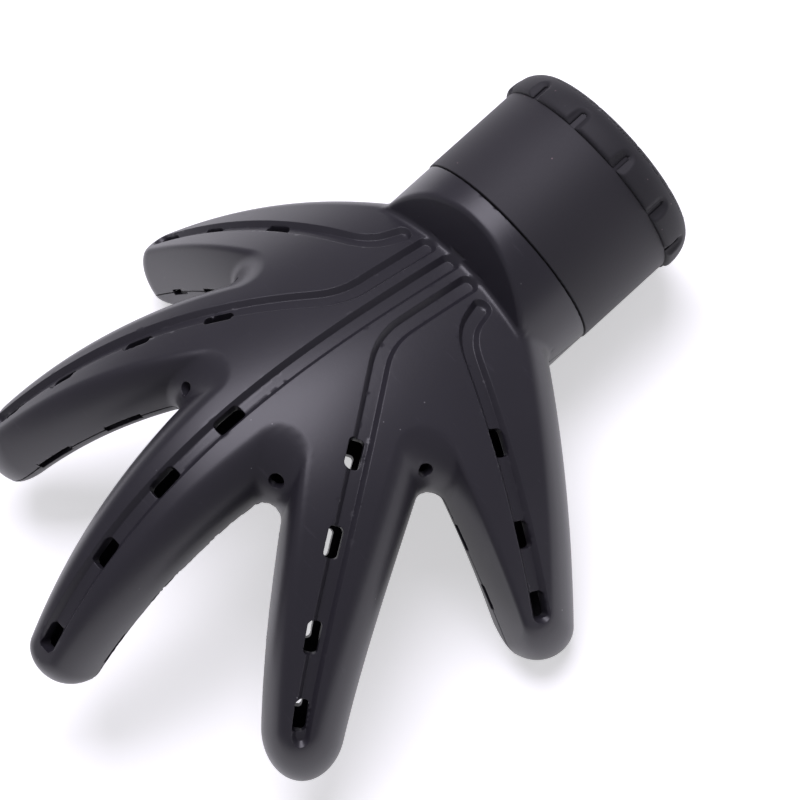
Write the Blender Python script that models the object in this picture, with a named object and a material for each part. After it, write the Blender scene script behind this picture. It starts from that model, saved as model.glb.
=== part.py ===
"""Hand-shaped diffuser for a hair dryer.

Two moulded shells make a hollow five-finger hand with air slots along the fingers. A short round neck
carries a turning collar: a scroll plate inside it drives six rubber-faced jaws onto the dryer's nozzle.

Dimensions are in millimetres until a mesh is made. The neck axis runs along Y, the fingers point to +Y, the
back of the hand faces +Z, and the finished model stands on Z = 0 with its box centred on X and Y.
"""
import math

import bmesh
import bpy
import numpy as np
from mathutils import Matrix, Vector
from mathutils.geometry import delaunay_2d_cdt

for old in list(bpy.data.objects):
    bpy.data.objects.remove(old, do_unlink=True)

MM = 0.001
TURN = 2.0 * math.pi

# ---- driving dimensions of the hand ------------------------------------------------------------------------
# The parting surface between the shells is z = ARCH(y) - CROSS_DROP * x * x, with y from the neck's rear end.
ARCH = (-1.9, 0.352, 1.53e-3, -2.42e-5)
CROSS_DROP = 8.3e-3
BACK_RISE = 14.0          # from the parting surface up to the back of the hand
PALM_DEPTH = 4.8          # from the parting surface down to the palm
WALL = 2.2                # shell thickness
PARTING_GAP = 0.3
EDGE_SWEEP = math.radians(60.0)   # how far the side wall has turned in when it meets the flat face

# Each rim is a belt round circles (u, v, radius): the right half of the hand, from the middle finger to the
# wrist. u and v are lengths along the arched parting surface. Tips bulge out, crotches cut in.
OUTLINE_MIDDLE_TIP = (0.0, 169.5, 9.4)
OUTLINE_CROTCHES = ((20.5, 104.9, 4.6), (46.4, 69.9, 4.8))
OUTLINE_TIPS = ((65.5, 133.7, 12.9), (92.6, 68.0, 9.3))
OUTLINE_WRIST = (19.6, 18.2, 9.0)
FACE_MIDDLE_TIP = (0.0, 167.0, 3.9)
FACE_CROTCHES = ((13.0, 91.5, 5.6), (34.6, 65.8, 7.1))
FACE_TIPS = ((61.2, 131.2, 4.8), (82.5, 69.5, 4.5))
FACE_WRIST = (14.9, 26.6, 9.0)

# A groove runs from the neck to a bend and on to the fingertip. Slots go through at the given points.
GROOVE_WIDTH = 4.6
GROOVE_DEPTH = 1.4
GROOVE_PATHS = (
    ((0.0, 23.4), (0.0, 162.0)),
    ((6.9, 24.1), (7.1, 53.0), (61.5, 131.0)),
    ((13.3, 26.2), (16.0, 35.5), (82.0, 68.5)),
)
SLOT_SIZE = (7.6, 3.6)
SLOT_STATIONS = (
    ((0.0, 95.0), (0.0, 115.2), (0.0, 136.4), (0.0, 162.4)),
    ((23.6, 79.0), (35.6, 96.6), (48.1, 114.6), (58.9, 129.0)),
    ((41.1, 48.3), (63.1, 59.2), (80.7, 67.6)),
)

# ---- driving dimensions of the neck and collar -------------------------------------------------------------
NECK_RADIUS = 31.0
NECK_SIDE = 18.5          # length of the neck's sides, up to where the fingers' shell takes over
NECK_BEVEL_START = 6.0    # where the sloped front faces start, above and below
NECK_BACK_SLOPE = math.radians(56.0)
NECK_PALM_SLOPE = math.radians(67.0)
SEAM_GAP = 0.5            # between neck and turning collar
FIT_GAP = 0.3
RUN_GAP = 0.25
COLLAR_RADIUS = NECK_RADIUS + 0.3
COLLAR_WALL = 1.3
COLLAR_BORE = COLLAR_RADIUS - COLLAR_WALL
COLLAR_LENGTH = 30.0      # of the smooth sleeve in front of the grip ring
GRIP_RADIUS = COLLAR_RADIUS + 1.3
GRIP_LENGTH = 10.6
GRIP_SEAT_RADIUS = COLLAR_RADIUS - 0.4   # the collar's turned-down end under the grip ring
GRIP_SEAT_LENGTH = 5.7
DOME_DEPTH = 8.3          # the collar's rear end is domed over this length
DOME_DROP = 5.4           # and its radius falls by this much
NOTCH_COUNT = 12
NOTCH_TROUGH = 3.25       # radius of a notch across
NOTCH_DEPTH = 1.3
NOTCH_LENGTH = 7.2
SOCKET_RADIUS = 25.6      # clear bore for the dryer's nozzle

# ---- driving dimensions of the clamp -----------------------------------------------------------------------
JAW_COUNT = 6
JAW_ARC = math.radians(34.0)
JAW_THICKNESS = 4.4       # along the neck axis
PAD_FACE = SOCKET_RADIUS - 1.4
PAD_THICKNESS = 1.7
PAD_ARC = math.radians(30.0)
JAW_TRAVEL_PER_DEG = 0.05
COLLAR_OPEN_DEG = -20.0
COLLAR_CLOSE_DEG = 24.0
JAW_OUTER = COLLAR_BORE - 2 * FIT_GAP + COLLAR_OPEN_DEG * JAW_TRAVEL_PER_DEG
PIN_RADIUS = 0.6
PIN_SEAT_RADIUS = JAW_OUTER - 0.8   # radius of the jaw pins from the neck axis at rest
FLANGE_THICKNESS = 2.0
SCROLL_THICKNESS = 1.9
BEZEL_THICKNESS = 2.0
INSERT_OUTER = SOCKET_RADIUS + 1.8
INSERT_REACH = 11.0       # how far the insert goes into the neck

# ---- driving dimensions of the screws ----------------------------------------------------------------------
SCREW_HEAD_RADIUS = 2.6
SCREW_HEAD_HEIGHT = 1.3
SCREW_SHANK_RADIUS = 1.25
SHELL_HEAD_SINK = 0.8     # the shell screws' heads lie this deep in the palm
SHELL_SCREW_LENGTH = 12.0
INSERT_HEAD_SINK = 0.1
SCREW_END_GAP = 0.5       # free depth past a screw's tip
BOSS_RADIUS = 3.6
SHELL_SCREW_PLACES = ((14.0, 34.0), (22.0, 58.0))   # x and y of the right-hand pair, mirrored
INSERT_SCREW_ANGLE = math.radians(45.0)             # either side of straight down
INSERT_SCREW_Y = 5.0

NECK_SEGMENTS = 48


# ---- meshes and booleans -----------------------------------------------------------------------------------
def plastic(name, color, roughness, metallic=0.0):
    material = bpy.data.materials.new(name)
    material.use_nodes = True
    shader = material.node_tree.nodes["Principled BSDF"]
    shader.inputs["Base Color"].default_value = (*color, 1.0)
    shader.inputs["Roughness"].default_value = roughness
    shader.inputs["Metallic"].default_value = metallic
    material.diffuse_color = (*color, 1.0)
    return material


SHELL_PLASTIC = plastic("shell_plastic", (0.022, 0.021, 0.024), 0.42)
SLEEVE_RUBBER = plastic("sleeve_soft_touch", (0.017, 0.016, 0.018), 0.62)
NYLON = plastic("nylon", (0.03, 0.03, 0.032), 0.5)
JAW_RUBBER = plastic("jaw_rubber", (0.02, 0.02, 0.02), 0.8)
STEEL = plastic("screw_steel", (0.55, 0.56, 0.58), 0.3, 1.0)


def add_mesh(name, points, faces, material=None):
    """A mesh object from points in millimetres, with its normals made to face out."""
    mesh = bpy.data.meshes.new(name)
    mesh.from_pydata([Vector(p) * MM for p in points], [], faces)
    tidy = bmesh.new()
    tidy.from_mesh(mesh)
    bmesh.ops.recalc_face_normals(tidy, faces=tidy.faces)
    tidy.to_mesh(mesh)
    tidy.free()
    obj = bpy.data.objects.new(name, mesh)
    bpy.context.scene.collection.objects.link(obj)
    if material:
        mesh.materials.append(material)
    return obj


def boolean(target, other, operation):
    """Apply one exact boolean to the target and drop the other object."""
    modifier = target.modifiers.new("boolean", "BOOLEAN")
    modifier.operation = operation
    modifier.solver = "EXACT"
    modifier.object = other
    evaluated = target.evaluated_get(bpy.context.evaluated_depsgraph_get())
    result = bpy.data.meshes.new_from_object(evaluated)
    target.modifiers.clear()
    target.data = result
    bpy.data.objects.remove(other, do_unlink=True)
    return target


def joined(objects):
    """One mesh object that holds several separate closed bodies, for use as a cutter."""
    points, faces = [], []
    for obj in objects:
        start = len(points)
        points.extend(vertex.co / MM for vertex in obj.data.vertices)
        faces.extend([start + i for i in face.vertices] for face in obj.data.polygons)
        bpy.data.objects.remove(obj, do_unlink=True)
    return add_mesh("cutter", points, faces)


def copy_of(obj):
    twin = bpy.data.objects.new(obj.name, obj.data.copy())
    bpy.context.scene.collection.objects.link(twin)
    return twin


def turned(name, profile, material=None, segments=NECK_SEGMENTS):
    """A solid of revolution about Y from a closed profile of (radius, y) points."""
    points = []
    for step in range(segments):
        angle = TURN * step / segments
        points += [(r * math.cos(angle), y, r * math.sin(angle)) for r, y in profile]
    count = len(profile)
    faces = []
    for step in range(segments):
        for i in range(count):
            a = step * count + i
            b = step * count + (i + 1) % count
            c = (step + 1) % segments * count + (i + 1) % count
            d = (step + 1) % segments * count + i
            faces.append((a, b, c, d))
    return add_mesh(name, points, faces, material)


def tube(name, inner, outer, y_low, y_high, material=None):
    return turned(name, ((inner, y_low), (outer, y_low), (outer, y_high), (inner, y_high)), material)


def rod(start, direction, radius, length, sides=12, name="rod"):
    """A closed cylinder from start along direction."""
    axis = Vector(direction).normalized()
    side = axis.orthogonal().normalized()
    other = axis.cross(side)
    points = []
    for along in (0.0, length):
        for step in range(sides):
            angle = TURN * step / sides
            points.append(Vector(start) + axis * along
                          + (side * math.cos(angle) + other * math.sin(angle)) * radius)
    faces = [tuple(range(sides)), tuple(range(sides, 2 * sides))]
    faces += [(i, (i + 1) % sides, sides + (i + 1) % sides, sides + i) for i in range(sides)]
    return add_mesh(name, points, faces)


# ---- the arched parting surface ----------------------------------------------------------------------------
ARC_STEP = 0.1
X_TABLE = np.arange(0.0, 140.0, ARC_STEP)
U_TABLE = np.concatenate(([0.0], np.cumsum(np.hypot(1.0, 2 * CROSS_DROP * X_TABLE[1:]) * ARC_STEP)))
Y_TABLE = np.arange(-20.0, 220.0, ARC_STEP)
SLOPE_TABLE = ARCH[1] + 2 * ARCH[2] * Y_TABLE + 3 * ARCH[3] * Y_TABLE ** 2
V_TABLE = np.concatenate(([0.0], np.cumsum(np.hypot(1.0, SLOPE_TABLE[1:]) * ARC_STEP)))
V_TABLE -= np.interp(0.0, Y_TABLE, V_TABLE)


def arch_height(x, y):
    return ARCH[0] + ARCH[1] * y + ARCH[2] * y ** 2 + ARCH[3] * y ** 3 - CROSS_DROP * x ** 2


def on_hand(u, v, rise):
    """The point at lengths u, v along the parting surface, lifted off it by rise along its normal."""
    x = math.copysign(np.interp(abs(u), U_TABLE, X_TABLE), u)
    y = float(np.interp(v, V_TABLE, Y_TABLE))
    slope = ARCH[1] + 2 * ARCH[2] * y + 3 * ARCH[3] * y ** 2
    normal = Vector((2 * CROSS_DROP * x, -slope, 1.0)).normalized()
    return Vector((x, y, arch_height(x, y))) + normal * rise


# ---- rims: belts round the fingertips and crotches ---------------------------------------------------------
def belt_circles(middle_tip, crotches, tips, wrist):
    """The circles of a closed rim in walking order, each with +1 for a tip or -1 for a crotch."""
    right = [(*crotches[0], -1), (*tips[0], 1), (*crotches[1], -1), (*tips[1], 1), (*wrist, 1)]
    left = [(-u, v, radius, side) for u, v, radius, side in reversed(right)]
    return [(*middle_tip, 1)] + left[::-1] + right[::-1]


def belt(circles, inset=0.0, arc_points=5, side_points=3):
    """Points along the belt, moved in by inset; the count is the same for every inset."""
    count = len(circles)
    leave = []
    for i, (u, v, radius, side) in enumerate(circles):
        u2, v2, radius2, side2 = circles[(i + 1) % count]
        span = math.hypot(u2 - u, v2 - v)
        heading = math.atan2(v2 - v, u2 - u)
        leave.append(heading - math.acos((radius * side - radius2 * side2) / span))
    arcs = []
    for i, (u, v, radius, side) in enumerate(circles):
        start, end = leave[i - 1], leave[i]
        sweep = (end - start) % TURN if side > 0 else -((start - end) % TURN)
        reach = radius * side - inset
        angles = [start + sweep * k / (arc_points - 1) for k in range(arc_points)]
        arcs.append([(u + reach * math.cos(a), v + reach * math.sin(a)) for a in angles])
    points = []
    for i, arc in enumerate(arcs):
        points += arc
        (u, v), (u2, v2) = arc[-1], arcs[(i + 1) % count][0]
        for k in range(1, side_points):
            part = k / side_points
            points.append((u + (u2 - u) * part, v + (v2 - v) * part))
    return points


OUTLINE = belt_circles(OUTLINE_MIDDLE_TIP, OUTLINE_CROTCHES, OUTLINE_TIPS, OUTLINE_WRIST)
FACE = belt_circles(FACE_MIDDLE_TIP, FACE_CROTCHES, FACE_TIPS, FACE_WRIST)


def inside(point, polygon):
    hit = False
    for (x1, y1), (x2, y2) in zip(polygon, polygon[1:] + polygon[:1]):
        if (y1 > point[1]) != (y2 > point[1]):
            if point[0] < x1 + (point[1] - y1) / (y2 - y1) * (x2 - x1):
                hit = not hit
    return hit


def rim_distance(point, polygon):
    return min(math.dist(point, corner) for corner in polygon)


def filled_rim(rim, spacing=13.0):
    """Triangles inside a rim, with extra points so that they can follow the arch."""
    extra = []
    reach_u = max(abs(u) for u, v in rim)
    reach_v = max(v for u, v in rim)
    for i in range(-int(reach_u // spacing), int(reach_u // spacing) + 1):
        for j in range(int(reach_v // spacing) + 1):
            spot = (i * spacing, j * spacing)
            if inside(spot, rim) and rim_distance(spot, rim) > 0.45 * spacing:
                extra.append(spot)
    flat = [Vector(p) for p in list(rim) + extra]
    edges = [(i, (i + 1) % len(rim)) for i in range(len(rim))]
    points, _, triangles, _, _, _ = delaunay_2d_cdt(flat, edges, [], 1, 1e-4)
    return [tuple(p) for p in points], triangles


def hand_block(inset, rise, depth, wall_steps=3):
    """The closed form of the hand, both sides of the parting surface, drawn in by inset."""
    outline = belt(OUTLINE, inset)
    face = belt(FACE, 0.5 * inset)
    count = len(outline)
    points, faces, rings = [], [], {}

    def add_ring(level, height):
        part = EDGE_SWEEP * abs(level) / wall_steps
        lean = (1 - math.cos(part)) / (1 - math.cos(EDGE_SWEEP))
        lift = math.sin(part) / math.sin(EDGE_SWEEP)
        rings[level] = len(points)
        for (u, v), (u2, v2) in zip(outline, face):
            points.append(on_hand(u + (u2 - u) * lean, v + (v2 - v) * lean, height * lift))

    for level in range(-wall_steps, wall_steps + 1):
        add_ring(level, rise if level > 0 else -depth)
    for level in range(-wall_steps, wall_steps):
        low, high = rings[level], rings[level + 1]
        for i in range(count):
            j = (i + 1) % count
            faces.append((low + i, low + j, high + j, high + i))
    flat, triangles = filled_rim(face)
    for level, height in ((wall_steps, rise), (-wall_steps, -depth)):
        start = len(points)
        points += [on_hand(u, v, height) for u, v in flat[count:]]
        for triangle in triangles:
            faces.append([rings[level] + i if i < count else start + i - count for i in triangle])
    return add_mesh("hand_block", points, faces)


def neck_block(radius, y_start, bevel_shift):
    """The neck cylinder with its front cut to a slope above and below, all drawn back by bevel_shift."""
    front = NECK_SIDE - bevel_shift
    shape = bmesh.new()
    bmesh.ops.create_cone(shape, cap_ends=True, segments=NECK_SEGMENTS, radius1=radius, radius2=radius,
                          depth=front - y_start)
    bmesh.ops.rotate(shape, verts=shape.verts, cent=(0, 0, 0), matrix=Matrix.Rotation(-math.pi / 2, 3, "X"))
    bmesh.ops.translate(shape, verts=shape.verts, vec=(0, (front + y_start) / 2, 0))
    for side, slope in ((1, NECK_BACK_SLOPE), (-1, NECK_PALM_SLOPE)):
        normal = Vector((0, math.sin(slope), side * math.cos(slope)))
        corner = Vector((0, NECK_BEVEL_START, side * NECK_RADIUS)) - normal * bevel_shift
        cut = bmesh.ops.bisect_plane(shape, geom=shape.verts[:] + shape.edges[:] + shape.faces[:],
                                     plane_co=corner, plane_no=normal, clear_outer=True)
        rim = [item for item in cut["geom_cut"] if isinstance(item, bmesh.types.BMEdge)]
        bmesh.ops.contextual_create(shape, geom=rim)
    points = [vertex.co.copy() for vertex in shape.verts]
    shape.verts.index_update()
    faces = [[vertex.index for vertex in face.verts] for face in shape.faces]
    shape.free()
    return add_mesh("neck_block", points, faces)


def strip(path, half_width, low, high, rounded=False):
    """A bar that follows the arch along a path of (u, v) points, from low to high above it."""
    stations = []
    for index, (u, v) in enumerate(path):
        before = path[max(index - 1, 0)]
        after = path[min(index + 1, len(path) - 1)]
        length = math.hypot(after[0] - before[0], after[1] - before[1])
        across = ((before[1] - after[1]) / length, (after[0] - before[0]) / length)
        width = half_width * (0.5 if rounded and index in (0, len(path) - 1) else 1.0)
        stations.append([(u - across[0] * width, v - across[1] * width),
                         (u + across[0] * width, v + across[1] * width)])
    points, faces = [], []
    for (u, v), (u2, v2) in stations:
        points += [on_hand(u, v, low), on_hand(u2, v2, low), on_hand(u2, v2, high), on_hand(u, v, high)]
    last = 4 * (len(stations) - 1)
    faces += [(0, 1, 2, 3), (last, last + 1, last + 2, last + 3)]
    for a in range(0, last, 4):
        faces += [(a + i, a + (i + 1) % 4, a + 4 + (i + 1) % 4, a + 4 + i) for i in range(4)]
    return add_mesh("strip", points, faces)


def walked(path, step=13.0, corner=6.0):
    """The path with its bend rounded off and a point every step."""
    if len(path) == 3:
        a, b, c = (Vector(p) for p in path)
        enter = b + (a - b).normalized() * corner
        leave = b + (c - b).normalized() * corner
        middle = (enter + leave) / 4 + b / 2
        path = [a, enter, middle, leave, c]
    dense = []
    for a, b in zip(path, path[1:]):
        a, b = Vector(a), Vector(b)
        parts = max(1, round((b - a).length / step))
        dense += [tuple(a + (b - a) * k / parts) for k in range(parts)]
    return dense + [tuple(path[-1])]


def mirrored(path):
    return [(-u, v) for u, v in path]


def both_hands(paths):
    """The middle path once and every other path on both sides."""
    return [paths[0]] + [p for path in paths[1:] for p in (path, mirrored(path))]


def groove_cutters():
    outer = BACK_RISE + 4.0
    cutters = []
    for path in both_hands(GROOVE_PATHS):
        cutters.append(strip(walked(path), GROOVE_WIDTH / 2, BACK_RISE - GROOVE_DEPTH, outer, True))
    return joined(cutters)


def slot_cutters():
    """Slots through the back of every finger, and the same ones through the palm."""
    length, width = SLOT_SIZE
    cutters = []
    for stations in both_hands(SLOT_STATIONS):
        for index, (u, v) in enumerate(stations):
            a = stations[max(index - 1, 0)]
            b = stations[min(index + 1, len(stations) - 1)]
            run = Vector((b[0] - a[0], b[1] - a[1])).normalized()
            half = length / 2
            path = [(u + run.x * t, v + run.y * t) for t in (-half, -half + width / 3, half - width / 3, half)]
            cutters.append(strip(path, width / 2, BACK_RISE - WALL - 2.5, BACK_RISE + 3.0, True))
            cutters.append(strip(path, width / 2, -PALM_DEPTH - 3.0, WALL + 2.5 - PALM_DEPTH, True))
    return joined(cutters)


def parting_slab(side):
    """Everything above (side 1) or below (side -1) the parting surface, less half the parting gap."""
    reach_x, y_low, y_high, step, tall = 115.0, -6.0, 190.0, 7.0, 90.0
    xs = np.linspace(-reach_x, reach_x, 33)
    ys = np.arange(y_low, y_high, step)
    points, faces = [], []
    for height in (0.0, tall):
        for y in ys:
            for x in xs:
                points.append((x, y, arch_height(x, y) + side * (PARTING_GAP / 2 + height)))
    across, along = len(xs), len(ys)
    layer = across * along
    for j in range(along - 1):
        for i in range(across - 1):
            a = j * across + i
            quad = (a, a + 1, a + 1 + across, a + across)
            for start in (0, layer):
                p = [start + corner for corner in quad]
                faces += [(p[0], p[1], p[2]), (p[0], p[2], p[3])]
    rim = [i for i in range(across)] + [(j + 1) * across - 1 for j in range(1, along)]
    rim += [layer - 1 - i for i in range(1, across)] + [j * across for j in range(along - 2, 0, -1)]
    for a, b in zip(rim, rim[1:] + rim[:1]):
        faces.append((a, b, b + layer, a + layer))
    return add_mesh("slab", points, faces)


def radial(angle):
    return Vector((math.cos(angle), 0.0, math.sin(angle)))


def shell_screw_places():
    return [(side * x, y) for x, y in SHELL_SCREW_PLACES for side in (1, -1)]


def palm_skin(x, y):
    """Height of the palm's outer skin below the parting surface at x, y."""
    slope_x = 2 * CROSS_DROP * x
    slope_y = ARCH[1] + 2 * ARCH[2] * y + 3 * ARCH[3] * y ** 2
    return arch_height(x, y) - PALM_DEPTH * math.sqrt(1 + slope_x ** 2 + slope_y ** 2)


def screw(name, seat, direction, length):
    """A pan-head screw: seat is under the head, direction runs along the shank."""
    axis = Vector(direction).normalized()
    head = rod(Vector(seat) - axis * SCREW_HEAD_HEIGHT, axis, SCREW_HEAD_RADIUS, SCREW_HEAD_HEIGHT, 20)
    shank = rod(Vector(seat) - axis * 0.5, axis, SCREW_SHANK_RADIUS, length + 0.5, 12)
    drive = rod(Vector(seat) - axis * (SCREW_HEAD_HEIGHT + 1.0), axis, 0.9, 1.8, 6)
    body = boolean(head, shank, "UNION")
    body = boolean(body, drive, "DIFFERENCE")
    body.name = name
    body.data.name = name
    body.data.materials.clear()
    body.data.materials.append(STEEL)
    return body


def screw_room(seat, direction, length):
    """What is cut away for a screw: the head's counterbore and the shank's hole."""
    axis = Vector(direction).normalized()
    hole = rod(Vector(seat) - axis * 14.0, axis, SCREW_HEAD_RADIUS + FIT_GAP, 14.0 + FIT_GAP / 2, 20)
    shank = rod(Vector(seat) - axis, axis, SCREW_SHANK_RADIUS + FIT_GAP / 2, 1.0 + length + SCREW_END_GAP, 12)
    return boolean(hole, shank, "UNION")


def shell_seats():
    """Where the shell screws' heads bear, and which way they run."""
    return [((x, y, palm_skin(x, y) + SHELL_HEAD_SINK + SCREW_HEAD_HEIGHT), (0, 0, 1), SHELL_SCREW_LENGTH)
            for x, y in shell_screw_places()]


def insert_seats():
    seats = []
    seat_radius = NECK_RADIUS - INSERT_HEAD_SINK - SCREW_HEAD_HEIGHT
    for side in (1, -1):
        out = radial(-math.pi / 2 + side * INSERT_SCREW_ANGLE)
        spot = out * seat_radius + Vector((0, INSERT_SCREW_Y, 0))
        seats.append((tuple(spot), tuple(-out), seat_radius - SOCKET_RADIUS - 2 * SCREW_END_GAP))
    return seats


def build_shells():
    """Back and palm shell: one hollow hand, cut along the parting surface."""
    body = boolean(hand_block(0.0, BACK_RISE, PALM_DEPTH), neck_block(NECK_RADIUS, 0.0, 0.0), "UNION")
    hollow = boolean(hand_block(WALL, BACK_RISE - WALL, PALM_DEPTH - WALL),
                     neck_block(NECK_RADIUS - WALL, -3.0, WALL), "UNION")
    bosses = joined([rod((x, y, -40.0), (0, 0, 1), BOSS_RADIUS, 90.0, 16) for x, y in shell_screw_places()])
    hollow = boolean(hollow, bosses, "DIFFERENCE")
    body = boolean(body, hollow, "DIFFERENCE")
    body = boolean(body, groove_cutters(), "DIFFERENCE")
    body = boolean(body, slot_cutters(), "DIFFERENCE")
    rooms = [screw_room(*seat) for seat in shell_seats() + insert_seats()]
    body = boolean(body, joined(rooms), "DIFFERENCE")
    for name, side in (("back_shell", 1), ("palm_shell", -1)):
        shell = boolean(copy_of(body), parting_slab(side), "INTERSECT")
        shell.name = name
        shell.data.name = name
        shell.data.materials.clear()
        shell.data.materials.append(SHELL_PLASTIC)
    bpy.data.objects.remove(body, do_unlink=True)


# ---- collar and clamp --------------------------------------------------------------------------------------
REAR = -(COLLAR_LENGTH + GRIP_LENGTH)
BEZEL_FRONT = REAR + BEZEL_THICKNESS + FIT_GAP
SCROLL_REAR = BEZEL_FRONT + FIT_GAP
SCROLL_FRONT = SCROLL_REAR + SCROLL_THICKNESS
JAW_REAR = SCROLL_FRONT + RUN_GAP
JAW_FRONT = JAW_REAR + JAW_THICKNESS
FLANGE_REAR = JAW_FRONT + RUN_GAP
FLANGE_FRONT = FLANGE_REAR + FLANGE_THICKNESS
FRONT_LIP = 2.4           # thickness of the collar's front inner lip
LIP_RADIUS = INSERT_OUTER + 1.0
KEY_WIDTH = 3.0
KEY_DEPTH = 1.3
KEY_OUTER = JAW_OUTER - 0.6
KEY_INNER = PAD_FACE + PAD_THICKNESS + FIT_GAP


def dome(inner, outer, steps=6):
    """Points (radius, y) on the collar's domed rear end, from the radius inner out to outer."""
    base = GRIP_RADIUS - DOME_DROP
    start = math.acos((max(inner, base) - base) / DOME_DROP)
    end = math.acos((outer - base) / DOME_DROP)
    turns = [start + (end - start) * k / steps for k in range(steps + 1)]
    return [(base + DOME_DROP * math.cos(t), REAR + DOME_DEPTH * (1 - math.sin(t))) for t in turns]


def jaw_angles():
    return [math.pi / 2 + TURN * k / JAW_COUNT for k in range(JAW_COUNT)]


def sector(inner, outer, y_low, y_high, middle, arc, steps=6):
    """A closed block of a ring between two radii, centred on the angle middle."""
    points, faces = [], []
    for k in range(steps + 1):
        out = radial(middle - arc / 2 + arc * k / steps)
        for radius, y in ((inner, y_low), (outer, y_low), (outer, y_high), (inner, y_high)):
            points.append(out * radius + Vector((0, y, 0)))
    last = 4 * steps
    faces += [(0, 1, 2, 3), (last, last + 1, last + 2, last + 3)]
    for a in range(0, last, 4):
        faces += [(a + i, a + (i + 1) % 4, a + 4 + (i + 1) % 4, a + 4 + i) for i in range(4)]
    return add_mesh("sector", points, faces)


def radial_box(middle, inner, outer, width, y_low, y_high):
    """A straight block along a radius."""
    out = radial(middle)
    across = Vector((-out.z, 0, out.x)) * (width / 2)
    points = []
    for y in (y_low, y_high):
        for radius, side in ((inner, -1), (outer, -1), (outer, 1), (inner, 1)):
            points.append(out * radius + across * side + Vector((0, y, 0)))
    faces = [(0, 1, 2, 3), (4, 5, 6, 7)] + [(i, (i + 1) % 4, 4 + (i + 1) % 4, 4 + i) for i in range(4)]
    return add_mesh("radial_box", points, faces)


def finish(obj, name, material):
    obj.name = name
    obj.data.name = name
    obj.data.materials.clear()
    obj.data.materials.append(material)
    return obj


def build_insert():
    """The fixed tube in the neck, with the flange that guides the jaws."""
    profile = ((SOCKET_RADIUS, FLANGE_REAR), (COLLAR_BORE - RUN_GAP, FLANGE_REAR),
               (COLLAR_BORE - RUN_GAP, FLANGE_FRONT), (INSERT_OUTER, FLANGE_FRONT), (INSERT_OUTER, -FIT_GAP),
               (NECK_RADIUS - WALL - FIT_GAP, -FIT_GAP + 0.6), (NECK_RADIUS - WALL - FIT_GAP, INSERT_REACH),
               (SOCKET_RADIUS, INSERT_REACH))
    body = turned("neck_insert", profile)
    guides = []
    for angle in jaw_angles():
        out_most = KEY_OUTER - COLLAR_OPEN_DEG * JAW_TRAVEL_PER_DEG + FIT_GAP
        in_most = KEY_INNER - COLLAR_CLOSE_DEG * JAW_TRAVEL_PER_DEG - 2.0
        guides.append(radial_box(angle, in_most, out_most, KEY_WIDTH + 2 * 0.15, FLANGE_REAR - 1.0,
                                 FLANGE_REAR + KEY_DEPTH + FIT_GAP))
    body = boolean(body, joined(guides), "DIFFERENCE")
    for seat in insert_seats():
        body = boolean(body, screw_room(*seat), "DIFFERENCE")
    body = boolean(body, neck_block(NECK_RADIUS + 5.0, REAR, WALL + FIT_GAP), "INTERSECT")
    finish(body, "neck_insert", NYLON)


def spiral_slot(middle):
    """The slot in the scroll plate that a jaw's pin follows, as a closed bar."""
    half = PIN_RADIUS + 0.2
    steps = 6
    low, high = COLLAR_OPEN_DEG - 2.0, COLLAR_CLOSE_DEG + 2.0
    points, faces = [], []
    for k in range(steps + 1):
        turn = low + (high - low) * k / steps
        radius = PIN_SEAT_RADIUS - turn * JAW_TRAVEL_PER_DEG
        out = radial(middle + math.radians(turn))
        for r, y in ((radius - half, SCROLL_REAR - 1), (radius + half, SCROLL_REAR - 1),
                     (radius + half, SCROLL_FRONT + 1), (radius - half, SCROLL_FRONT + 1)):
            points.append(out * r + Vector((0, y, 0)))
    last = 4 * steps
    faces += [(0, 1, 2, 3), (last, last + 1, last + 2, last + 3)]
    for a in range(0, last, 4):
        faces += [(a + i, a + (i + 1) % 4, a + 4 + (i + 1) % 4, a + 4 + i) for i in range(4)]
    return add_mesh("spiral_slot", points, faces)


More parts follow.
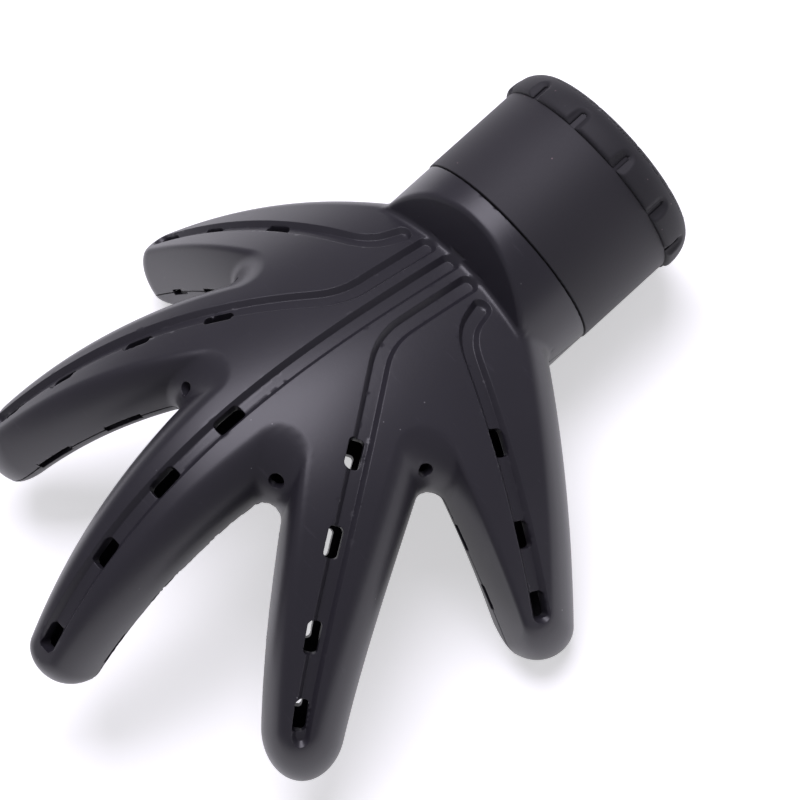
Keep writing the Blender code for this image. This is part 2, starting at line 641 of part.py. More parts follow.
def build_collar():
    """Sleeve, notched grip ring, scroll plate and rear bezel, which turn together."""
    outer = COLLAR_RADIUS
    seat_end = -COLLAR_LENGTH - FIT_GAP - GRIP_SEAT_LENGTH
    sleeve = ((LIP_RADIUS, -SEAM_GAP - FRONT_LIP), (COLLAR_BORE, -SEAM_GAP - FRONT_LIP),
              (COLLAR_BORE, seat_end), (GRIP_SEAT_RADIUS, seat_end),
              (GRIP_SEAT_RADIUS, -COLLAR_LENGTH - FIT_GAP),
              (outer, -COLLAR_LENGTH - FIT_GAP), (outer, -SEAM_GAP - 0.5), (outer - 0.5, -SEAM_GAP),
              (LIP_RADIUS, -SEAM_GAP))
    turned("clamp_collar", sleeve, SLEEVE_RUBBER)
    seat = GRIP_SEAT_RADIUS + FIT_GAP / 2
    front = -COLLAR_LENGTH - FIT_GAP * 1.5
    ring = [(seat, seat_end - FIT_GAP / 2), (COLLAR_BORE, seat_end - FIT_GAP / 2)]
    ring += dome(COLLAR_BORE, GRIP_RADIUS)
    ring += [(GRIP_RADIUS, front - 1.2), (GRIP_RADIUS - 0.35, front - 0.4), (GRIP_RADIUS - 1.1, front),
             (seat, front)]
    grip = turned("grip_ring", ring, segments=5 * NOTCH_COUNT)
    notches = []
    for k in range(NOTCH_COUNT):
        angle = math.pi / 2 + TURN * k / NOTCH_COUNT
        centre = radial(angle) * (GRIP_RADIUS - NOTCH_DEPTH + NOTCH_TROUGH)
        start = centre + Vector((0, front - NOTCH_LENGTH, 0))
        notches.append(rod(start, (0, 1, 0), NOTCH_TROUGH, NOTCH_LENGTH + 2.0, 12))
    grip = boolean(grip, joined(notches), "DIFFERENCE")
    finish(grip, "grip_ring", SLEEVE_RUBBER)
    plate = tube("scroll_plate", SOCKET_RADIUS - 0.2, COLLAR_BORE - FIT_GAP, SCROLL_REAR, SCROLL_FRONT)
    plate = boolean(plate, joined([spiral_slot(angle) for angle in jaw_angles()]), "DIFFERENCE")
    finish(plate, "scroll_plate", NYLON)
    bezel = [(SOCKET_RADIUS, REAR)] + dome(SOCKET_RADIUS, COLLAR_BORE - FIT_GAP, 4)
    bezel += [(COLLAR_BORE - FIT_GAP, BEZEL_FRONT), (SOCKET_RADIUS, BEZEL_FRONT)]
    turned("rear_bezel", bezel, NYLON)


def build_retainers():
    """The clip ring behind the collar's lip and the elastomer ring that makes the collar stay put."""
    y_high = -SEAM_GAP - FRONT_LIP - RUN_GAP
    tube("retaining_ring", INSERT_OUTER + 0.15, COLLAR_BORE - 0.6, y_high - 1.4, y_high, STEEL)
    tube("friction_ring", INSERT_OUTER + 0.15, LIP_RADIUS - 0.15, -SEAM_GAP - FRONT_LIP + 0.3,
         -SEAM_GAP - 0.3, JAW_RUBBER)


def build_jaws():
    for number, angle in enumerate(jaw_angles(), 1):
        body = sector(PAD_FACE + PAD_THICKNESS + FIT_GAP / 2, JAW_OUTER, JAW_REAR, JAW_FRONT, angle, JAW_ARC)
        key = radial_box(angle, KEY_INNER, KEY_OUTER, KEY_WIDTH, JAW_FRONT - 0.5, JAW_FRONT + RUN_GAP + KEY_DEPTH)
        pin = rod(radial(angle) * PIN_SEAT_RADIUS + Vector((0, JAW_REAR + 0.5, 0)), (0, -1, 0), PIN_RADIUS,
                  0.5 + RUN_GAP + SCROLL_THICKNESS, 12)
        body = boolean(body, key, "UNION")
        body = boolean(body, pin, "UNION")
        finish(body, f"jaw_{number}", NYLON)
        pad = sector(PAD_FACE, PAD_FACE + PAD_THICKNESS - FIT_GAP / 2, JAW_REAR + 0.2, JAW_FRONT - 0.2, angle,
                     PAD_ARC)
        finish(pad, f"jaw_pad_{number}", JAW_RUBBER)


def build_screws():
    for number, seat in enumerate(shell_seats(), 1):
        screw(f"shell_screw_{number}", *seat)
    for number, seat in enumerate(insert_seats(), 1):
        screw(f"insert_screw_{number}", *seat)


def stand_on_floor():
    """Move everything so that the box is centred on X and Y and its bottom is at Z = 0."""
    bpy.context.view_layer.update()
    corners = np.array([obj.matrix_world @ vertex.co for obj in bpy.data.objects if obj.type == "MESH"
                        for vertex in obj.data.vertices])
    low, high = corners.min(0), corners.max(0)
    shift = Vector((0.0, -(low[1] + high[1]) / 2, -low[2]))
    for obj in bpy.data.objects:
        if obj.type == "MESH":
            obj.data.transform(Matrix.Translation(shift))
            obj.data.shade_smooth()
            obj.data.set_sharp_from_angle(angle=math.radians(35.0))
    return shift


def place_origins(shift):
    """Turning pieces have their origin on the neck axis, and so do the jaws that slide towards it."""
    moving = ["clamp_collar", "grip_ring", "scroll_plate", "rear_bezel"]
    moving += [f"{kind}_{k + 1}" for kind in ("jaw", "jaw_pad") for k in range(JAW_COUNT)]
    for name in moving:
        obj = bpy.data.objects[name]
        obj.data.transform(Matrix.Translation(-shift))
        obj.location = shift


build_shells()
build_insert()
build_collar()
build_retainers()
build_jaws()
build_screws()
place_origins(stand_on_floor())
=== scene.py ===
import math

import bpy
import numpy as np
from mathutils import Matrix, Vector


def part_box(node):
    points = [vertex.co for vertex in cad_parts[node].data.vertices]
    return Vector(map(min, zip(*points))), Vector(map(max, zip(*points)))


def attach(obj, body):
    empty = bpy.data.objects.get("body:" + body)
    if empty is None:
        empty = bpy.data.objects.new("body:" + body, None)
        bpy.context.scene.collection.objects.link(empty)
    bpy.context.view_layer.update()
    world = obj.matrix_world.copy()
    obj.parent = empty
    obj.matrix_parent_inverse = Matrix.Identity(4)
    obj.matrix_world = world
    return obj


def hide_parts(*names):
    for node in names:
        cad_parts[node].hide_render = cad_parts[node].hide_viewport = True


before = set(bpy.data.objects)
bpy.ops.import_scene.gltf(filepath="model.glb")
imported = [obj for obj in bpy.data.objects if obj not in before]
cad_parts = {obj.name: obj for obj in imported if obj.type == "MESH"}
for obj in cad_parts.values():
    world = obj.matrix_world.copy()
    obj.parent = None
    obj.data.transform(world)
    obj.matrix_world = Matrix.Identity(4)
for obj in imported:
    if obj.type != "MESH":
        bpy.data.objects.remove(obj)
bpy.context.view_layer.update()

# %% [markdown]
# # A hand-shaped diffuser for a hair dryer
# The real object is two thin plastic mouldings that make a hollow hand, and a rubbery collar that clamps
# the hand to a dryer. Air comes in through the collar and leaves through the slots along the fingers.
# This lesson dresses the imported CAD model. The CAD gives every place and size, and each cell adds one
# piece or one finish.

# %% [markdown]
# ## Where the neck is
# All shapes below are written in millimetres from the middle of the neck's rear end, with y along the neck
# towards the fingers and z out of the back of the hand. The rear ring's box tells where that point lies in
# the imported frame: the ring is round, so its middle is the neck's axis, and its rear face is a known length
# behind the seam.

# %% The neck's rear end, from the ring that closes the collar
COLLAR_LENGTH = 30.0
GRIP_LENGTH = 10.6
REAR = -(COLLAR_LENGTH + GRIP_LENGTH)
ring_low, ring_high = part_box("rear_bezel")
SEAM = np.array([0.0, ring_low.y * 1000 - REAR, (ring_low.z + ring_high.z) * 500])
print("seam centre in mm:", SEAM.round(2))


def to_frame(points):
    """Points in millimetres from the seam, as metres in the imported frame."""
    return (np.asarray(points, float) + SEAM) / 1000


# %% [markdown]
# ## Solids described by distance
# A moulding has soft edges everywhere: a ridge along each finger, a rounded lip on each groove. Cutting
# such edges into a mesh by hand is slow. A distance field makes them easy. It is a formula that is negative
# inside the solid and positive outside. The larger of two fields is what the solids share, the smaller is
# both together, and a soft step between them rounds the edge where they meet.

# %% Joining and cutting fields with rounded edges
def common(a, b, round_mm=0.0):
    """What two fields share; their outer edge is rounded over about round_mm."""
    if round_mm == 0.0:
        return np.maximum(a, b)
    blend = np.maximum(round_mm - np.abs(a - b), 0.0) / round_mm
    return np.maximum(a, b) + blend * blend * round_mm / 4


def together(a, b, fillet_mm=0.0):
    """Both solids as one; the inner corner gets a fillet of about fillet_mm."""
    return -common(-a, -b, fillet_mm)


def without(a, b, round_mm=0.0):
    """The first solid with the second cut away."""
    return common(a, -b, round_mm)


# %% [markdown]
# ## From a field to a mesh
# The field is sampled on a fine grid. Wherever it changes sign along a grid edge the surface crosses, and
# the four cells round that edge are joined by one quad. Each cell's corner point is then pushed to the
# place that fits all the crossing planes of its cell best, so flat faces stay flat and edges stay sharp.
# This is called dual contouring. Blocks that are far from the surface are skipped to save time, and a
# piece that is the same left and right is made once and mirrored.

# %% Dual contouring
BLOCK = 4                  # cells along one side of a block of the first, coarse look
HALF_DIAGONAL = 0.87       # from a block's middle to its corner, in blocks
KEEP_NEAR = 0.03           # pull of each corner point towards the middle of its crossings
STRAY = 0.1                # how far a corner point may leave its cell, in cells


def crossings(field, values, origin, cell, mirror):
    """Every grid edge that the surface cuts: its four cells, the cut point, its normal and its direction."""
    cells, points, flips = [], [], []
    for axis in range(3):
        low = [slice(None)] * 3
        high = [slice(None)] * 3
        low[axis], high[axis] = slice(None, -1), slice(1, None)
        a, b = values[tuple(low)], values[tuple(high)]
        spots = np.argwhere((a < 0) != (b < 0))
        second, third = (axis + 1) % 3, (axis + 2) % 3
        first_x = 1 if mirror else 0
        keep = (spots[:, second] > 0) & (spots[:, third] > 0) & (spots[:, 0] >= first_x)
        spots = spots[keep]
        start = origin + spots * cell
        at = a[tuple(spots.T)], b[tuple(spots.T)]
        part = np.clip(at[0] / (at[0] - at[1]), 0.02, 0.98)
        step = np.zeros(3)
        step[axis] = cell
        lower, upper = np.zeros(len(spots)), np.ones(len(spots))
        inside_first = at[0] < 0
        for _ in range(4):
            value = field(*(start + part[:, None] * step).T)
            same = (value < 0) == inside_first
            lower, upper = np.where(same, part, lower), np.where(same, upper, part)
            ahead = part - value / cell * np.where(inside_first, 1, -1)
            part = np.where((ahead > lower) & (ahead < upper), ahead, (lower + upper) / 2)
        around = []
        for shift_2, shift_3 in ((-1, -1), (0, -1), (0, 0), (-1, 0)):
            corner = spots.copy()
            corner[:, second] += shift_2
            corner[:, third] += shift_3
            around.append(corner)
        cells.append(np.stack(around, 1))
        points.append(start + part[:, None] * step)
        flips.append(~inside_first)
    return np.concatenate(cells), np.concatenate(points), np.concatenate(flips)


def normals_of(field, points, step=0.01):
    """Unit normals of a field by small steps."""
    slopes = [(field(*(points + step * e).T) - field(*(points - step * e).T)) for e in np.eye(3)]
    normals = np.stack(slopes, 1)
    return normals / np.maximum(np.linalg.norm(normals, axis=1), 1e-9)[:, None]


def contour(field, low, high, cell, mirror=True, reach=2.4):
    """The surface of a field inside a box as points and quads. reach widens the search round the surface."""
    low, high = np.array(low, float), np.array(high, float)
    if mirror:
        low[0] = -cell / 2
    size = np.ceil((high - low) / (cell * BLOCK)).astype(int)
    middles = np.stack(np.meshgrid(*[np.arange(n) for n in size], indexing="ij"), -1).reshape(-1, 3)
    centres = low + (middles + 0.5) * BLOCK * cell - cell / 2
    coarse = field(*centres.T)
    values = coarse.reshape(size)
    for axis in range(3):
        values = np.repeat(values, BLOCK, axis)
    values = np.ascontiguousarray(values)
    near = middles[np.abs(coarse) < reach * BLOCK * cell * HALF_DIAGONAL]
    offsets = np.stack(np.meshgrid(*[np.arange(BLOCK)] * 3, indexing="ij"), -1).reshape(-1, 3)
    spots = (near[:, None] * BLOCK + offsets).reshape(-1, 3)
    values[tuple(spots.T)] = field(*(low + spots * cell).T)
    cells, points, flips = crossings(field, values, low, cell, mirror)
    normals = normals_of(field, points)
    keys = np.ravel_multi_index(cells.reshape(-1, 3).T, values.shape)
    used, corner = np.unique(keys, return_inverse=True)
    corner = corner.reshape(-1)
    spread = np.repeat(points, 4, 0)
    facing = np.repeat(normals, 4, 0)
    count = np.bincount(corner)

    def total(weights):
        return np.bincount(corner, weights)

    centre = np.stack([total(spread[:, i]) for i in range(3)], 1) / count[:, None]
    local = spread - centre[corner]
    along = np.einsum("ij,ij->i", facing, local)
    matrix = np.stack([total(facing[:, i] * facing[:, j]) for i in range(3) for j in range(3)], 1)
    matrix = matrix.reshape(-1, 3, 3) + np.eye(3) * KEEP_NEAR
    target = np.stack([total(facing[:, i] * along) for i in range(3)], 1)
    moved = np.linalg.solve(matrix, target[:, :, None])[:, :, 0]
    index = np.stack(np.unravel_index(used, values.shape), 1)
    cell_low = low + index * cell
    verts = np.clip(centre + moved, cell_low - STRAY * cell, cell_low + (1 + STRAY) * cell)
    quads = corner.reshape(-1, 4)
    quads[flips] = quads[flips][:, ::-1]
    if mirror:
        middle = index[:, 0] == 0
        verts[middle, 0] = 0.0
        other = np.where(middle, np.arange(len(verts)), len(verts) + np.cumsum(~middle) - 1)
        twin = verts[~middle] * (-1, 1, 1)
        quads = np.concatenate([quads, other[quads][:, ::-1]])
        verts = np.concatenate([verts, twin])
    return verts, quads


def mesh_piece(name, verts, faces, sharp_degrees=38.0):
    """A smooth-shaded object from millimetre points; edges steeper than sharp_degrees stay crisp."""
    mesh = bpy.data.meshes.new(name)
    mesh.from_pydata(to_frame(verts).tolist(), [], [list(f) for f in faces])
    mesh.validate()
    mesh.shade_smooth()
    mesh.set_sharp_from_angle(angle=math.radians(sharp_degrees))
    piece = bpy.data.objects.new(name, mesh)
    bpy.context.scene.collection.objects.link(piece)
    print(f"{name}: {len(mesh.polygons)} faces")
    return piece


# %% [markdown]
# ## The arched hand
# The real hand is bent like a relaxed hand: arched from the wrist to the fingertips and rounded from side
# to side. Both shells follow one arched parting surface. A point is described by two lengths measured along
# that surface, u across and v from the wrist to the fingertips, and by its height above it.

# %% The parting surface and the way back from a point to it
ARCH = (-1.9, 0.352, 1.53e-3, -2.42e-5)
CROSS_DROP = 8.3e-3
TABLE_STEP = 0.1
Y_TABLE = np.arange(-60.0, 220.0, TABLE_STEP)
SLOPES = ARCH[1] + 2 * ARCH[2] * Y_TABLE + 3 * ARCH[3] * Y_TABLE ** 2
V_TABLE = np.concatenate(([0.0], np.cumsum(np.hypot(1.0, SLOPES[1:]) * TABLE_STEP)))
V_TABLE -= np.interp(0.0, Y_TABLE, V_TABLE)


def on_arch(x, y, z):
    """u, v and height over the parting surface of points near the hand."""
    foot_x, foot_y = x.copy(), y.copy()
    for _ in range(7):
        slope_x = -2 * CROSS_DROP * foot_x
        slope_y = ARCH[1] + 2 * ARCH[2] * foot_y + 3 * ARCH[3] * foot_y ** 2
        shrink = 1 / np.sqrt(1 + slope_x ** 2 + slope_y ** 2)
        level = ARCH[0] + foot_y * (ARCH[1] + foot_y * (ARCH[2] + foot_y * ARCH[3]))
        level = level - CROSS_DROP * foot_x ** 2
        height = ((z - level) - (x - foot_x) * slope_x - (y - foot_y) * slope_y) * shrink
        height = np.clip(height, -45.0, 45.0)
        foot_x = x + height * slope_x * shrink
        foot_y = np.clip(y + height * slope_y * shrink, -50.0, 210.0)
    k = 2 * CROSS_DROP
    u = foot_x / 2 * np.sqrt(1 + (k * foot_x) ** 2) + np.arcsinh(k * foot_x) / (2 * k)
    return np.abs(u), np.interp(foot_y, Y_TABLE, V_TABLE), height


# %% [markdown]
# ## The outline of the hand
# The rim of the hand is like a belt pulled round discs: it bulges round a disc at each fingertip and dips
# in round a disc between two fingers. The outline at the parting line and the edge of the flat back are two
# such belts. Between them the side wall leans in, steep at the parting line and flatter near the top, so
# every height has its own belt with its discs part of the way from the one to the other.

# %% The discs (u, v, radius, side) of the right half, from the wrist up to the middle finger
# side is 1 where the belt bulges round a disc and -1 where it dips in.
OUTLINE = ((19.6, 18.2, 9.0, 1), (92.6, 68.0, 9.3, 1), (46.4, 69.9, 4.8, -1), (65.5, 133.7, 12.9, 1),
           (20.5, 104.9, 4.6, -1), (0.0, 169.5, 9.4, 1))
FACE = ((14.9, 26.6, 9.0, 1), (82.5, 69.5, 4.5, 1), (34.6, 65.8, 7.1, -1), (61.2, 131.2, 4.8, 1),
        (13.0, 91.5, 5.6, -1), (0.0, 167.0, 3.9, 1))


FAR = 1e3                  # a distance longer than anything on the hand


def belt_distance(u, v, lean):
    """Distance to the belt, negative inside the hand; lean 0 is the outline and 1 the edge of the back."""
    discs = []
    for (u1, v1, r1, side), (u2, v2, r2, _) in zip(OUTLINE, FACE):
        discs.append((u1 + (u2 - u1) * lean, v1 + (v2 - v1) * lean, (r1 + (r2 - r1) * lean), side))
    first = discs[0]
    discs = [(-first[0], first[1], first[2], 1)] + discs
    best = np.full(u.shape, FAR)

    def closer(distance, valid):
        nonlocal best
        distance = np.where(valid, distance, FAR)
        best = np.where(np.abs(distance) < np.abs(best), distance, best)

    before = None
    for (cu, cv, radius, side), (du, dv, radius_2, side_2) in zip(discs[:-1], discs[1:]):
        span_u, span_v = du - cu, dv - cv
        span = np.hypot(span_u, span_v)
        cosine = (radius * side - radius_2 * side_2) / span
        sine = np.sqrt(np.maximum(1 - cosine ** 2, 0))
        out_u = (span_u * cosine + span_v * sine) / span
        out_v = (span_v * cosine - span_u * sine) / span
        off_u, off_v = u - cu, v - cv
        run = -off_u * out_v + off_v * out_u
        closer(off_u * out_u + off_v * out_v - radius * side, (run >= 0) & (run <= span * sine))
        if before is not None:
            closer(*arc_part(off_u, off_v, radius, side, before, (out_u, out_v)))
        before = (out_u, out_v)
    cu, cv, radius, side = discs[-1]
    closer(*arc_part(u - cu, v - cv, radius, side, before, (np.zeros_like(u), np.ones_like(u))))
    return best


def arc_part(off_u, off_v, radius, side, enter, leave):
    """Distance to a disc's rim, and whether the point faces the part of it that the belt touches."""
    near_u, near_v = side * off_u, side * off_v
    valid = (side * (enter[0] * near_v - enter[1] * near_u) >= -1e-9)
    valid &= (side * (near_u * leave[1] - near_v * leave[0]) >= -1e-9)
    return (np.hypot(off_u, off_v) - radius) * side, valid


# %% [markdown]
# ## One hand, solid or hollow
# The same function gives the outside of the hand and, drawn in by the wall thickness, its inside. The edge
# between the side wall and the flat back is the ridge that catches the light on each finger.

# %% The hand block
BACK_RISE = 14.0
PALM_DEPTH = 4.8
WALL = 2.2
SWEEP = math.radians(60.0)
RIDGE_ROUND = 1.15
INNER_ROUND = 0.3


def hand_block(u, v, height, inset=0.0):
    """The hand as a solid block, or that block with every face drawn in by inset."""
    rise = np.where(height > 0, BACK_RISE, PALM_DEPTH) - inset
    part = np.arcsin(np.clip(np.abs(height) / rise, 0, 1) * math.sin(SWEEP))
    lean = (1 - np.cos(part)) / (1 - math.cos(SWEEP))
    side = belt_distance(u, v, lean) + inset * (1 - lean / 2)
    return common(side, np.abs(height) - rise, RIDGE_ROUND if inset == 0 else INNER_ROUND)


# %% [markdown]
# ## Grooves and slots
# A channel runs from the neck along every finger, with a gentle bend where the fingers fan out. Inside, the
# wall is built up under it so that its floor is as thick as the rest. Air slots go through its floor and
# through the palm under them. Along the parting line there are longer vents, and each gap between two
# fingers has a small round hole.

# %% Distances to paths, slots and holes
GROOVE_WIDTH = 4.9
GROOVE_DEPTH = 1.5
GROOVE_TAPER = 0.75        # how much the walls lean out for each millimetre of height
GROOVE_PATHS = (((0.0, 23.4), (0.0, 163.7)), ((6.9, 24.1), (7.1, 53.0), (62.3, 132.2)),
                ((13.3, 26.2), (16.0, 35.5), (83.0, 68.9)))
SLOT_LENGTH, SLOT_WIDTH, SLOT_CORNER = 7.6, 3.7, 1.25
SLOT_STATIONS = (((0.0, 95.0), (0.0, 115.2), (0.0, 136.4), (0.0, 162.4)),
                 ((23.6, 79.0), (35.6, 96.6), (48.1, 114.6), (58.9, 129.0)),
                 ((41.1, 48.3), (63.1, 59.2), (80.7, 67.6)))


def bent(path, corner=7.0, steps=6):
    """A path with its bend rounded."""
    if len(path) < 3:
        return list(path)
    a, b, c = (Vector(p) for p in path)
    enter = b + (a - b).normalized() * min(corner, 0.6 * (a - b).length)
    leave = b + (c - b).normalized() * corner
    curve = [enter.lerp(b, k / steps).lerp(b.lerp(leave, k / steps), k / steps) for k in range(steps + 1)]
    return [tuple(a)] + [tuple(p) for p in curve] + [tuple(c)]


def to_path(u, v, path):
    """Distance to the nearest point of a path."""
    best = np.full(u.shape, FAR)
    for (u1, v1), (u2, v2) in zip(path, path[1:]):
        run_u, run_v = u2 - u1, v2 - v1
        along = np.clip(((u - u1) * run_u + (v - v1) * run_v) / (run_u ** 2 + run_v ** 2), 0, 1)
        best = np.minimum(best, np.hypot(u - u1 - run_u * along, v - v1 - run_v * along))
    return best


def to_slot(u, v, middle, run):
    """Distance to a slot with rounded corners, lying along the direction run."""
    along = np.abs((u - middle[0]) * run[0] + (v - middle[1]) * run[1]) - SLOT_LENGTH / 2 + SLOT_CORNER
    across = np.abs((v - middle[1]) * run[0] - (u - middle[0]) * run[1]) - SLOT_WIDTH / 2 + SLOT_CORNER
    outside = np.hypot(np.maximum(along, 0), np.maximum(across, 0))
    return outside + np.minimum(np.maximum(along, across), 0) - SLOT_CORNER


GROOVES = [bent(path) for path in GROOVE_PATHS]
SLOTS = []
for stations in SLOT_STATIONS:
    for i, spot in enumerate(stations):
        a, b = stations[max(i - 1, 0)], stations[min(i + 1, len(stations) - 1)]
        SLOTS.append((spot, Vector((b[0] - a[0], b[1] - a[1])).normalized()))
print(len(GROOVES), "groove paths and", len(SLOTS), "slots in each half")

# %% Vents along the parting line and holes between the fingers
VENTS = (((13.4, 113.5), 11.5), ((11.9, 136.0), 11.7), ((9.8, 160.0), 11.5),
         ((32.5, 113.2), 11.8), ((48.5, 132.5), 12.6), ((58.0, 68.0), 8.0), ((76.0, 73.6), 8.0))
VENT_RUNS = ((-0.07, 1.0), (-0.07, 1.0), (-0.1, 1.0), (0.63, 0.78), (0.66, 0.75), (0.97, 0.2), (0.99, 0.12))
VENT_HEIGHT = 1.8
VENT_REACH = 5.0           # how far a vent's cutter reaches to either side of the wall
CROTCH_HOLES = (((16.7, 96.6, 8.6), (0.33, 0.63, 0.7)), ((36.6, 67.0, 9.4), (0.65, 0.26, 0.71)))
CROTCH_HOLE_RADIUS = 1.9
CROTCH_HOLE_REACH = 4.0


def vents(u, v, height):
    """The field of everything that the vents and the small holes cut away."""
    best = np.full(u.shape, FAR)
    for ((mu, mv), length), run in zip(VENTS, VENT_RUNS):
        scale = math.hypot(*run)
        ru, rv = run[0] / scale, run[1] / scale
        along = np.abs((u - mu) * ru + (v - mv) * rv) - length / 2
        across = np.abs((v - mv) * ru - (u - mu) * rv) - VENT_REACH
        best = np.minimum(best, np.maximum(np.maximum(along, across), np.abs(height) - VENT_HEIGHT / 2))
    for (hu, hv, hh), direction in CROTCH_HOLES:
        d = Vector(direction).normalized()
        off = (u - hu, v - hv, height - hh)
        along = off[0] * d[0] + off[1] * d[1] + off[2] * d[2]
        radius = np.sqrt(np.maximum(off[0] ** 2 + off[1] ** 2 + off[2] ** 2 - along ** 2, 0))
        best = np.minimum(best, np.maximum(radius - CROTCH_HOLE_RADIUS, np.abs(along) - CROTCH_HOLE_REACH))
    return best


# %% [markdown]
# ## The neck
# A short round tube joins the collar to the hand. Its front is cut to a slope, so that above the wrist there
# is a plain sloped face that meets the hand along a straight crease.

# %% The neck, solid or drawn in
NECK_RADIUS = 31.0
NECK_SIDE = 18.5
BEVEL_START = 6.0
BACK_SLOPE = math.radians(56.0)
PALM_SLOPE = math.radians(67.0)
FRONT_ROUND = 1.0
EDGE_ROUND = 0.3           # most crisp edges of the neck and of the turned parts


def neck_block(x, y, z, inset=0.0, rear=0.0):
    """The neck as a solid block from y = rear to its sloped front, with its other faces drawn in by inset."""
    tube = np.hypot(x, z) - NECK_RADIUS + inset
    upper = (y - BEVEL_START) * math.sin(BACK_SLOPE) + (z - NECK_RADIUS) * math.cos(BACK_SLOPE) + inset
    lower = (y - BEVEL_START) * math.sin(PALM_SLOPE) + (-z - NECK_RADIUS) * math.cos(PALM_SLOPE) + inset
    soft = FRONT_ROUND if inset == 0 else 0.0
    solid = common(tube, y - NECK_SIDE + inset, soft)
    solid = common(common(solid, upper, soft), lower, soft)
    return common(solid, rear - y, EDGE_ROUND if inset == 0 else 0.0)


# %% [markdown]
# ## Screws
# Six small screws hold the mouldings: four pull the palm shell to the back shell at the bosses inside the
# hand, and two hold the neck on its inner tube. Each screw needs a boss or a wall, a hole for its shank
# and a wider hole for its head.

# %% Screw places, and the field of what is cut away for a screw
HEAD_RADIUS, HEAD_HEIGHT, SHANK_RADIUS = 2.6, 1.3, 1.25
HEAD_SINK = 0.8            # how deep the top of a head lies under the palm's skin
PLAY = 0.15                # between a shank and its hole, and all round other close fits
BOSSES = ((14.0, 34.0), (22.0, 58.0))
BOSS_RADIUS = 3.6


def palm_skin(x, y):
    """The height z of the palm's outside over or under a place."""
    slope_x = 2 * CROSS_DROP * x
    slope_y = ARCH[1] + 2 * ARCH[2] * y + 3 * ARCH[3] * y ** 2
    level = ARCH[0] + ARCH[1] * y + ARCH[2] * y ** 2 + ARCH[3] * y ** 3 - CROSS_DROP * x ** 2
    return level - PALM_DEPTH * math.sqrt(1 + slope_x ** 2 + slope_y ** 2)


def head_seat(x, y):
    """The middle of the underside of a palm screw's head."""
    return x, y, palm_skin(x, y) + HEAD_SINK + HEAD_HEIGHT


def screw_room(x, y, z, seat, direction, length):
    """The shank's hole and the wider hole for the head, with its length down to the tip."""
    off = (x - seat[0], y - seat[1], z - seat[2])
    along = off[0] * direction[0] + off[1] * direction[1] + off[2] * direction[2]
    radius = np.sqrt(np.maximum(off[0] ** 2 + off[1] ** 2 + off[2] ** 2 - along ** 2, 0))
    head = np.maximum(np.maximum(radius - HEAD_RADIUS - 2 * PLAY, along - PLAY), -14.0 - along)
    shank = np.maximum(np.maximum(radius - SHANK_RADIUS - PLAY, along - length - 0.5), -along - 1.0)
    return np.minimum(head, shank)


SEATS = [(head_seat(x, y), (0, 0, 1), 12.0) for x, y in BOSSES]
INSERT_SEAT_RADIUS = NECK_RADIUS - 0.1 - HEAD_HEIGHT
SLANT = math.pi / 4
INSERT_SCREW_SEAT = (INSERT_SEAT_RADIUS * math.sin(SLANT), 5.0, -INSERT_SEAT_RADIUS * math.cos(SLANT))
INSERT_SCREW_AIM = (-math.sin(SLANT), 0, math.cos(SLANT))
SEATS.append((INSERT_SCREW_SEAT, INSERT_SCREW_AIM, INSERT_SEAT_RADIUS - 26.6))

# %% [markdown]
# ## The two shells
# The hollow hand is the outside without the inside. It is cut along the parting surface with a hairline
# gap, which gives the back shell and the palm shell. Each is contoured on a grid of about two
# thirds of a millimetre, fine enough for the lips of the grooves.

# %% The hollow hand as one field
PARTING_GAP = 0.3
SLOT_FROM = 2.0            # slots are cut through whatever lies further than this from the parting surface
CELL = 0.64


def hollow_hand(x, y, z, side):
    """The shell of one half: side 1 is the back of the hand and -1 the palm."""
    x = np.abs(x)
    u, v, height = on_arch(x, y, z)
    outer = together(hand_block(u, v, height), neck_block(x, y, z), 1.4)
    inner = together(hand_block(u, v, height, WALL), neck_block(x, y, z, WALL, -3.0), 0.4)
    for bx, by in BOSSES:
        inner = without(inner, np.hypot(x - bx, y - by) - BOSS_RADIUS, 0.6)
    groove = np.full(x.shape, 1e3)
    for path in GROOVES:
        groove = np.minimum(groove, to_path(u, v, path))
    under = common(groove - GROOVE_WIDTH / 2 - WALL, BACK_RISE - GROOVE_DEPTH - WALL - height)
    inner = without(inner, under)
    solid = without(outer, inner)
    if side > 0:
        taper = GROOVE_TAPER * (BACK_RISE - height)
        channel = np.maximum(BACK_RISE - GROOVE_DEPTH - height, height - BACK_RISE - 2.0)
        solid = without(solid, common(groove - GROOVE_WIDTH / 2 + taper, channel))
    for middle, run in SLOTS:
        solid = without(solid, common(to_slot(u, v, middle, run), SLOT_FROM - np.abs(height)))
    solid = without(solid, vents(u, v, height))
    for seat in SEATS:
        solid = without(solid, screw_room(x, y, z, *seat))
    return common(solid, PARTING_GAP / 2 - side * height)


# %% Back shell and palm shell
def shell(name, side, low, high):
    def field(x, y, z):
        return hollow_hand(x, y, z, side)

    verts, quads = contour(field, low, high, CELL)
    return mesh_piece(name, verts, quads)


back_shell = shell("back_shell_moulding", 1, (0, -1.5, -30.0), (86.5, 168.0, 40.0))
palm_shell = shell("palm_shell_moulding", -1, (0, -1.5, -36.0), (86.5, 168.0, 28.0))

# %% [markdown]
# ## Shader maths as plain expressions
# A finish is a small program that runs at every point of the surface. Wiring it node by node hides the
# maths, so one class wraps a socket and lets Python's operators add the nodes. A colour or a vector can't go
# through a Math node without losing its parts, so those go through Mix and Vector Math nodes instead.

